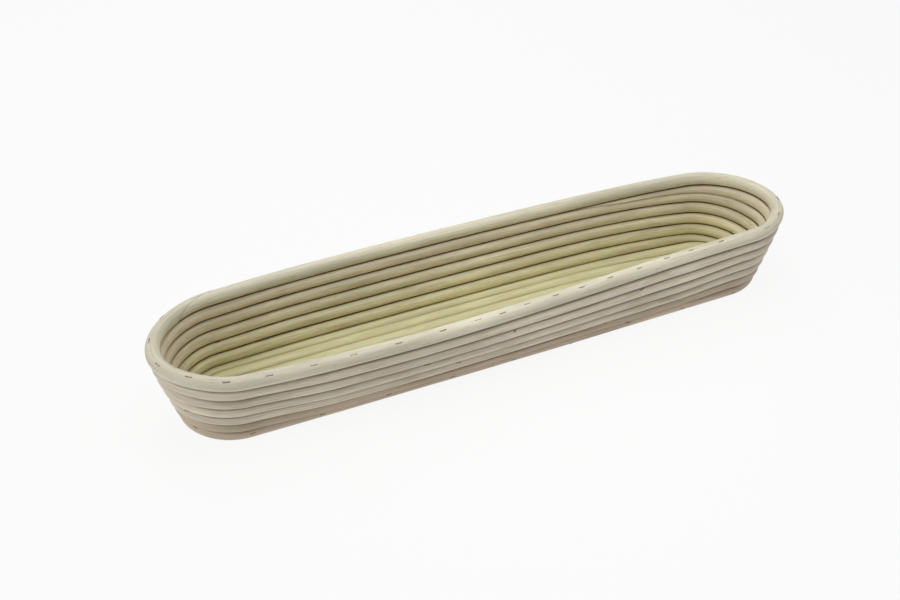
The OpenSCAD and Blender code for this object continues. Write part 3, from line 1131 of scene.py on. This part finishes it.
def staple_row() -> bpy.types.NodeTree:
    """Builds the tree that drives a bent wire staple at each point of a mesh.

    Returns:
        The tree.
    """
    tree = new_tree("staple_row", (
        "Width", "Leg", "Wire width", "Wire thickness", "Corner", "Tilt"), ("Seed",))
    add = partial(add_node, tree)
    given = add("NodeGroupInput").outputs

    # Four points in a row become the two legs and the crown, in the XZ plane with the crown at the top.
    count, wire_sides, corner_points = 4, 6, 2
    half_way = (count - 1) / 2
    row = add("GeometryNodeMeshLine", {"Count": count})
    index = add("GeometryNodeInputIndex")
    across = add("ShaderNodeMath", {0: given["Width"], 1: given["Wire thickness"]}, operation="SUBTRACT")
    is_right = add("ShaderNodeMath", {0: index, 1: half_way}, operation="GREATER_THAN")
    side = add("ShaderNodeMath", {0: is_right, 1: 0.5}, operation="SUBTRACT")
    from_middle = add("ShaderNodeMath", {
        0: add("ShaderNodeMath", {0: index, 1: half_way}, operation="SUBTRACT")}, operation="ABSOLUTE")
    is_tip = add("ShaderNodeMath", {0: from_middle, 1: 1.0}, operation="GREATER_THAN")
    crown = add("ShaderNodeMath", {0: given["Wire thickness"], 1: -0.5}, operation="MULTIPLY")
    drop = add("ShaderNodeMath", {0: is_tip, 1: given["Leg"]}, operation="MULTIPLY")
    path = add("ShaderNodeCombineXYZ", {
        "X": add("ShaderNodeMath", {0: across, 1: side}, operation="MULTIPLY"),
        "Z": add("ShaderNodeMath", {0: crown, 1: drop}, operation="SUBTRACT")})
    bent = add("GeometryNodeSetPosition", {"Geometry": row, "Position": path})
    line = add("GeometryNodeMeshToCurve", {"Mesh": bent})
    rounded = add("GeometryNodeFilletCurve", {
        "Curve": line, "Count": corner_points, "Radius": given["Corner"], "Limit Radius": True},
        mode="POLY")
    circle = add("GeometryNodeCurvePrimitiveCircle", {"Resolution": wire_sides, "Radius": 0.5})
    flatness = add("ShaderNodeCombineXYZ", {
        "X": given["Wire width"], "Y": given["Wire thickness"], "Z": 1.0})
    section = add("GeometryNodeTransform", {"Geometry": circle, "Scale": flatness})
    wire = add("GeometryNodeCurveToMesh", {"Curve": rounded, "Profile Curve": section, "Fill Caps": True})
    smooth = add("GeometryNodeSetShadeSmooth", {"Geometry": wire, "Shade Smooth": True}, domain="FACE")

    up, run = (add("GeometryNodeInputNamedAttribute", {"Name": name}, data_type="FLOAT_VECTOR")
               for name in ("up", "run"))
    stand = add("FunctionNodeAxesToRotation", {"Primary Axis": up, "Secondary Axis": run},
                primary_axis="Z", secondary_axis="X")
    back = add("ShaderNodeMath", {0: given["Tilt"], 1: -1.0}, operation="MULTIPLY")
    tilt = add("FunctionNodeRandomValue", {"Min": back, "Max": given["Tilt"], "Seed": given["Seed"]},
               data_type="FLOAT")
    twist = add("FunctionNodeAxisAngleToRotation", {"Axis": (0.0, 0.0, 1.0), "Angle": tilt})
    turned = add("FunctionNodeRotateRotation", {"Rotation": stand, "Rotate By": twist},
                 rotation_space="LOCAL")
    driven = add("GeometryNodeInstanceOnPoints", {
        "Points": given["Geometry"], "Instance": smooth, "Rotation": turned})
    whole = add("GeometryNodeRealizeInstances", {"Geometry": driven})
    bare = add("GeometryNodeRemoveAttribute", {
        "Geometry": add("GeometryNodeRemoveAttribute", {"Geometry": whole, "Name": "up"}), "Name": "run"})
    dressed = add("GeometryNodeSetMaterial", {"Geometry": bare, "Material": given["Material"]})
    add("NodeGroupOutput", {"Geometry": dressed})
    return tree


@dataclass
class StapleRow:
    """The staples that hold one round, driven through it into the round below, each a little askew.

    Attributes:
        node: Name of the solids that they stand for.
        path: Line of the round.
        places: Places of the staples on it.
        seed: Seed of what differs between them.
        lean: Degrees by which the crowns sit outwards of the line from the round below.
        far_lean: The same on the far side.
        far_side: Direction of the far side in the plan.
        far_gain: How soon the lean of the far side is reached.
        lean_spread: Greatest difference of a crown's own lean, in degrees.
        sink: Greatest depth to which a crown is driven in.
        sink_seed: What is added to the seed for the depths.
        proud: Height of a crown that is not driven in.
        tilt: Greatest turn of a crown from the line of the cane, in degrees.
        dark: How dark the mark of a crown that is not driven in is, from 0 to 1.
        fade: How much paler the mark of the deepest crown is.
    """

    node: str
    path: CanePath
    places: np.ndarray
    seed: int
    lean: float = 0.0
    far_lean: float = 0.0
    far_side: Span = (0.46, 0.89)
    far_gain: float = 1.5
    lean_spread: float = 34.0
    sink: float = 0.0
    sink_seed: int = 100
    width: float = 4.8
    leg: float = 13.0
    wire_width: float = 1.0
    wire_thickness: float = 0.7
    corner: float = 0.6
    proud: float = 0.15
    tilt: float = 9.0
    dark: float = 0.9
    fade: float = 0.75

    def angles(self) -> np.ndarray:
        """Gives the angles of the crowns round the cane.

        Returns:
            The angles from straight out towards up, in radians.
        """
        spread = np.random.default_rng(self.seed).uniform(-1, 1, len(self.places))
        outward = self.path.outward(self.places)[:, :2]
        far = np.clip(self.far_gain * outward @ np.array(self.far_side), 0, 1)
        leans = np.radians(self.lean + (self.far_lean - self.lean) * far + self.lean_spread * spread)
        return self.path.below_angle(self.places) + math.pi - leans

    def sinks(self) -> np.ndarray:
        """Gives how far each crown was driven in, from 0 to 1."""
        return np.random.default_rng(self.seed + self.sink_seed).uniform(0, 1, len(self.places))

    def marks(self, turns: int) -> Marks:
        """Gives the marks that the staples leave on their cane, whose places run over some turns.

        Args:
            turns: Number of turns.

        Returns:
            The marks.
        """
        order = np.argsort(self.places)
        parts = self.path.form.parts
        places = np.concatenate([self.places[order] + parts * turn for turn in range(turns)])
        shown = self.dark - self.fade * self.sinks()[order]
        return Marks(places, np.tile(self.angles()[order], turns), np.tile(shown, turns), dented=True)

    def seats(self) -> bpy.types.Mesh:
        """Builds the points on which the crowns sit, with the staples' directions in attributes.

        Returns:
            A mesh of loose points, in metres.
        """
        path, angles = self.path, self.angles()
        towards = path.outward(self.places) * np.cos(angles)[:, None]
        towards[:, 2] = np.sin(angles)
        stands = path.radius(self.places) + self.proud - self.sink * self.sinks()
        seat = path.middle(self.places) + towards * stands[:, None]
        up = seat - path.round_below(self.places)
        up /= np.linalg.norm(up, axis=1)[:, None]
        mesh = bpy.data.meshes.new(self.node + "_seats")
        mesh.from_pydata((seat * MM).tolist(), [], [])
        store(mesh, {"up": up, "run": path.heading(self.places)})
        return mesh

    def build(self, tree: bpy.types.NodeTree, material: bpy.types.Material) -> bpy.types.Object:
        """Drives the staples, and puts them in place of their solids.

        Args:
            tree: The staple row.
            material: The wire.

        Returns:
            The finished piece.
        """
        piece = grown(self.node + "_wire", self.seats(), tree, {
            "Width": self.width * MM, "Leg": self.leg * MM, "Wire width": self.wire_width * MM,
            "Wire thickness": self.wire_thickness * MM, "Corner": self.corner * MM,
            "Tilt": math.radians(self.tilt), "Seed": self.seed, "Material": material})
        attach(piece, "root")
        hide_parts(self.node)
        return piece


FINISHES = {
    "floor_rattan": RattanFinish(
        "peeled_rattan_floor", outside="#d6c5b1", inside="#dcd7ac",
        low_outside="#d6c5b1", low_inside="#dcd7ac", fibre="#b9aa72", bruise="#c4b684",
        outer_groove="#6f5040", inner_groove="#8f6c38", inner_groove_shade=0.6),
    "wall_rattan": RattanFinish(
        "peeled_rattan_wall", outside="#e6dcc8", inside="#dbd1b5",
        low_outside="#b0997e", low_inside="#d8d2a7", fibre="#a8936c", bruise="#9c8a64",
        outer_groove="#654639", inner_groove="#6c4722",
        mark="#a5927a", fibre_share=0.5, mark_reach=0.0, mark_hole=(0.9, 1.8)),
    "rim_rattan": RattanFinish(
        "peeled_rattan_rim", outside="#e1dac5", inside="#dcd7c0",
        low_outside="#e1dac5", low_inside="#dcd7c0", fibre="#b9a886", bruise="#c3b48c",
        outer_groove="#6a4c3d", inner_groove="#64421f",
        fibre_share=0.5, bruise_share=0.2, fleck_share=0.35),
}


@dataclass
class Basket:
    """The whole basket: four canes and nine rows of staples."""

    form: CoilForm
    tip: float = 0.5
    joint_gap: float = 0.04
    side_staples: int = 8
    end_staples: int = 3
    # Staples of the near side, as they were driven by hand
    rim_near_staples: tuple[float, ...] = (
        0.037, 0.111, 0.179, 0.258, 0.339, 0.405, 0.452, 0.502,
        0.559, 0.613, 0.673, 0.736, 0.798, 0.853, 0.921)
    top_near_staples: tuple[float, ...] = (0.075, 0.22, 0.3, 0.43, 0.53, 0.645, 0.77, 0.9)
    knot_place: float = 30.48
    knot_angle: float = 38.0
    bark: BarkStrip = BarkStrip(18.22, 18.72)
    start_steps: int = 40
    taper_steps: int = 90

    @cached_property
    def coil(self) -> CanePath:
        """Line of the floor and the wall."""
        return CanePath(self.form)

    @cached_property
    def rim(self) -> CanePath:
        """Line of the rim."""
        return CanePath(self.form, on_rim=True)

    def scarf(self, joint: float, share: float, radius: float, old: bool, side: CutFrom) -> CaneEnd:
        """Gives one of the two ends that meet in a slanted joint.

        Args:
            joint: Place where the joint starts in the old cane.
            share: Length of the joint, in places.
            radius: Radius of the cane.
            old: Whether this is the cane that ends here, or else the one that starts.
            side: Side that is cut away.

        Returns:
            The end.
        """
        slope = (2 * radius - self.tip) / share
        if old:
            return CaneEnd(joint + share, side, [joint, joint + share], [radius, self.tip - radius])
        lead = (self.joint_gap + self.tip) / slope
        full = (self.joint_gap + 2 * radius) / slope
        return CaneEnd(joint + lead, side, [joint + lead, joint + full], [self.tip - radius, radius])

    def coil_start(self) -> CaneEnd:
        """Gives the end in the middle of the floor, which tapers along the next loop.

        Returns:
            The end.
        """
        form = self.form
        tip = form.climb_share * smooth_step_inverse((self.tip + self.joint_gap) / form.floor_pitch)
        places = np.linspace(tip, form.climb_share, self.start_steps)
        depths = form.floor_pitch * form.climb(places) - self.coil.floor_radius - self.joint_gap
        return CaneEnd(tip, CutFrom.OUTSIDE, places, depths)

    def coil_taper(self) -> CaneEnd:
        """Gives the end under the rim, which tapers along the round below as that climbs to the rim.

        Returns:
            The end.
        """
        form = self.form
        left = (self.tip + self.joint_gap) / (form.wall_pitch * (1 - form.bend_climb))
        last = form.climb_lead + form.climb_share * (1 - left ** (1 / form.slowing))
        places = np.linspace(form.coil_end, form.coil_end + last, self.taper_steps)
        drop = form.coil_points(places)[:, 2] - form.coil_points(places - form.parts)[:, 2]
        return CaneEnd(form.coil_end + last, CutFrom.BELOW, places,
                       drop - self.coil.wall_radius - self.joint_gap)

    def turn_staples(self, times: int, near: Sequence[float] | None, shift: float) -> np.ndarray:
        """Gives the places of staples in a turn.

        Args:
            times: How many times as many there are as in a round of the coil.
            near: Those of the near side, or None if they lie as on the far side.
            shift: How far they are moved along, in parts of a space.

        Returns:
            The places, from 0 to 4.
        """
        side, end = ((np.arange(times * count) + 0.5 + shift) / (times * count)
                     for count in (self.side_staples, self.end_staples))
        return np.concatenate([
            side, TurnPart.LEFT_END + end, TurnPart.NEAR_SIDE + (side if near is None else np.array(near)),
            TurnPart.RIGHT_END + end])

    def round_staples(self, level: int) -> np.ndarray:
        """Gives the places of a coil round's staples, moved along on every second level.

        Args:
            level: Level of the round. The near side of the top one is stapled clear of the rim's staples.

        Returns:
            The places.
        """
        near = self.top_near_staples if level == self.form.top_level else None
        return level * self.form.parts + self.turn_staples(1, near, 0.5 * (level % 2))

    def staple_rows(self) -> list[StapleRow]:
        """Gives the rows of staples from the floor up to the rim.

        Returns:
            The rows, with the rim's as the last.
        """
        base = self.form.base_level
        rows = []
        for level in range(1, self.form.rim_level):
            name = f"floor_staples_{level}" if level <= base else f"wall_staples_{level - base}"
            rows.append(StapleRow(name, self.coil, self.round_staples(level), seed=level))
        places = self.turn_staples(2, self.rim_near_staples, 0.0)
        rows.append(StapleRow("rim_staples", self.rim, places, seed=self.form.rim_level,
                              lean=15.0, far_lean=42.0, lean_spread=8.0, sink=0.4))
        return rows

    def canes(self, rim_marks: Marks) -> list[Cane]:
        """Gives the canes from the floor up to the rim.

        Args:
            rim_marks: The marks of the staples on the rim.

        Returns:
            The canes.
        """
        form, coil, rim = self.form, self.coil, self.rim
        edge, wall = coil.edge_radius, coil.wall_radius
        share, rim_share = form.scarf_share, form.rim_scarf_share
        rim_end = form.rim_joint + form.parts
        knots = Marks(np.array([self.knot_place]), np.radians([self.knot_angle]), np.zeros(1))
        return [
            Cane("floor_cane", "floor_rattan", coil, self.coil_start(),
                 self.scarf(form.lower_joint, share, edge, True, CutFrom.OUTSIDE), knots, seed=1),
            Cane("lower_wall_cane", "wall_rattan", coil,
                 self.scarf(form.lower_joint, share, edge, False, CutFrom.INSIDE),
                 self.scarf(form.upper_joint, share, wall, True, CutFrom.OUTSIDE), knots, [self.bark],
                 seed=2),
            Cane("upper_wall_cane", "wall_rattan", coil,
                 self.scarf(form.upper_joint, share, wall, False, CutFrom.INSIDE), self.coil_taper(), knots,
                 seed=3),
            Cane("rim_cane", "rim_rattan", rim,
                 self.scarf(form.rim_joint, rim_share, rim.rim_radius, False, CutFrom.BOTTOM_INSIDE),
                 self.scarf(rim_end, rim_share, rim.rim_radius, True, CutFrom.TOP_OUTSIDE), rim_marks,
                 seed=4),
        ]


def seen_rays(add: Adder) -> bpy.types.Node:
    """Adds what tells the rays that show the background from those that light the basket.

    Args:
        add: What adds nodes to the material or the world.

    Returns:
        A node that gives 1 for rays from the camera, from gloss and through glass, and 0 for others.
    """
    path = add("ShaderNodeLightPath").outputs
    seen = add("ShaderNodeMath", {0: path["Is Camera Ray"], 1: path["Is Glossy Ray"]}, operation="MAXIMUM")
    return add("ShaderNodeMath", {0: seen, 1: path["Is Transmission Ray"]}, operation="MAXIMUM")


@dataclass(frozen=True)
class Lamp:
    """A square soft lamp, aimed at the basket. Its place and its side are in metres."""

    name: str
    place: Place
    size: float
    watts: float

    def hang(self) -> None:
        """Adds the lamp to the scene."""
        data = bpy.data.lights.new(self.name, "AREA")
        data.shape, data.size, data.energy = "SQUARE", self.size, self.watts
        lamp = linked(self.name, data)
        lamp.location = self.place
        lamp.rotation_euler = Vector(self.place).to_track_quat("Z", "Y").to_euler()


@dataclass(frozen=True)
class Studio:
    """Camera, floor and light. The camera's place is in millimetres."""

    camera_at: Place = (-301.71, -582.44, 497.18)
    camera_pitch: float = 54.368
    camera_yaw: float = -24.986
    lens: float = 45.944
    sensor: float = 36.0
    floor_size: float = 12.0
    floor_below: float = 0.3
    floor_colour: str = "#e6e5e3"
    floor_white: float = 0.9
    floor_glow: float = 0.45
    world_level: float = 0.24
    lamps: tuple[Lamp, ...] = (
        Lamp("top", (0.0, 0.0, 1.6), 1.4, 7.8),
        Lamp("middle", (0.03, -0.14, 0.36), 0.18, 0.34),
        Lamp("back", (0.0, 0.7, 0.9), 0.6, 2.9),
        Lamp("left", (-1.5, 0.0, 0.7), 0.9, 6.0),
    )

    def build(self) -> None:
        """Sets up the camera, the floor, the lamps and the world."""
        scene = bpy.context.scene
        scene.view_settings.view_transform = "Standard"
        data = bpy.data.cameras.new("camera")
        data.sensor_fit, data.sensor_width, data.lens = "HORIZONTAL", self.sensor, self.lens
        camera = linked("camera", data)
        camera.location = Vector(self.camera_at) * MM
        camera.rotation_euler = (math.radians(self.camera_pitch), 0.0, math.radians(self.camera_yaw))
        scene.camera = camera
        self.floor()
        self.world()
        for lamp in self.lamps:
            lamp.hang()

    def floor(self) -> None:
        """Lays the pale floor just under the basket. It looks nearly white, with a light shadow."""
        half, below = self.floor_size / 2, -self.floor_below * MM
        corners = [(x * half, y * half, below) for x, y in ((-1, -1), (1, -1), (1, 1), (-1, 1))]
        mesh = bpy.data.meshes.new("studio_floor")
        mesh.from_pydata(corners, [], [(0, 1, 2, 3)])
        floor = linked("studio_floor", mesh)
        material, add, shader = new_material("studio_paper")
        nodes = material.node_tree.nodes
        nodes.remove(shader)
        share = add("ShaderNodeMapRange", {
            "Value": seen_rays(add), "To Min": self.floor_glow, "To Max": self.floor_white})
        paper = add("ShaderNodeBsdfDiffuse", {"Color": linear(self.floor_colour)})
        white = add("ShaderNodeEmission", {"Color": WHITE, "Strength": 1.0})
        mixed = add("ShaderNodeMixShader", {0: share, 1: paper, 2: white})
        set_inputs(nodes["Material Output"], {"Surface": mixed})
        mesh.materials.append(material)

    def world(self) -> None:
        """Fills the room with even white light, and shows white behind the basket."""
        world = bpy.data.worlds.new("studio")
        world.use_nodes = True
        tree = world.node_tree
        add = partial(add_node, tree)
        level = add("ShaderNodeMapRange", {
            "Value": seen_rays(add), "To Min": self.world_level, "To Max": 1.0})
        set_inputs(tree.nodes["Background"], {"Color": WHITE, "Strength": level})
        bpy.context.scene.world = world


def main() -> None:
    """Builds the studio and the basket."""
    logging.basicConfig(level=logging.INFO, format="%(message)s")
    Studio().build()
    basket = Basket(CoilForm())
    rows = basket.staple_rows()
    rattan = {slot: finish.material() for slot, finish in FINISHES.items()}
    wire = WireFinish().material()
    sweep, row_tree = cane_sweep(), staple_row()
    for cane in basket.canes(rows[-1].marks(turns=2)):
        piece = cane.build(sweep, rattan[cane.slot])
        LOG.info("%s: %d faces", piece.name, len(piece.data.polygons))
    for row in rows:
        piece = row.build(row_tree, wire)
        LOG.info("%s: %d staples", piece.name, len(row.places))


if __name__ == "__main__":
    main()
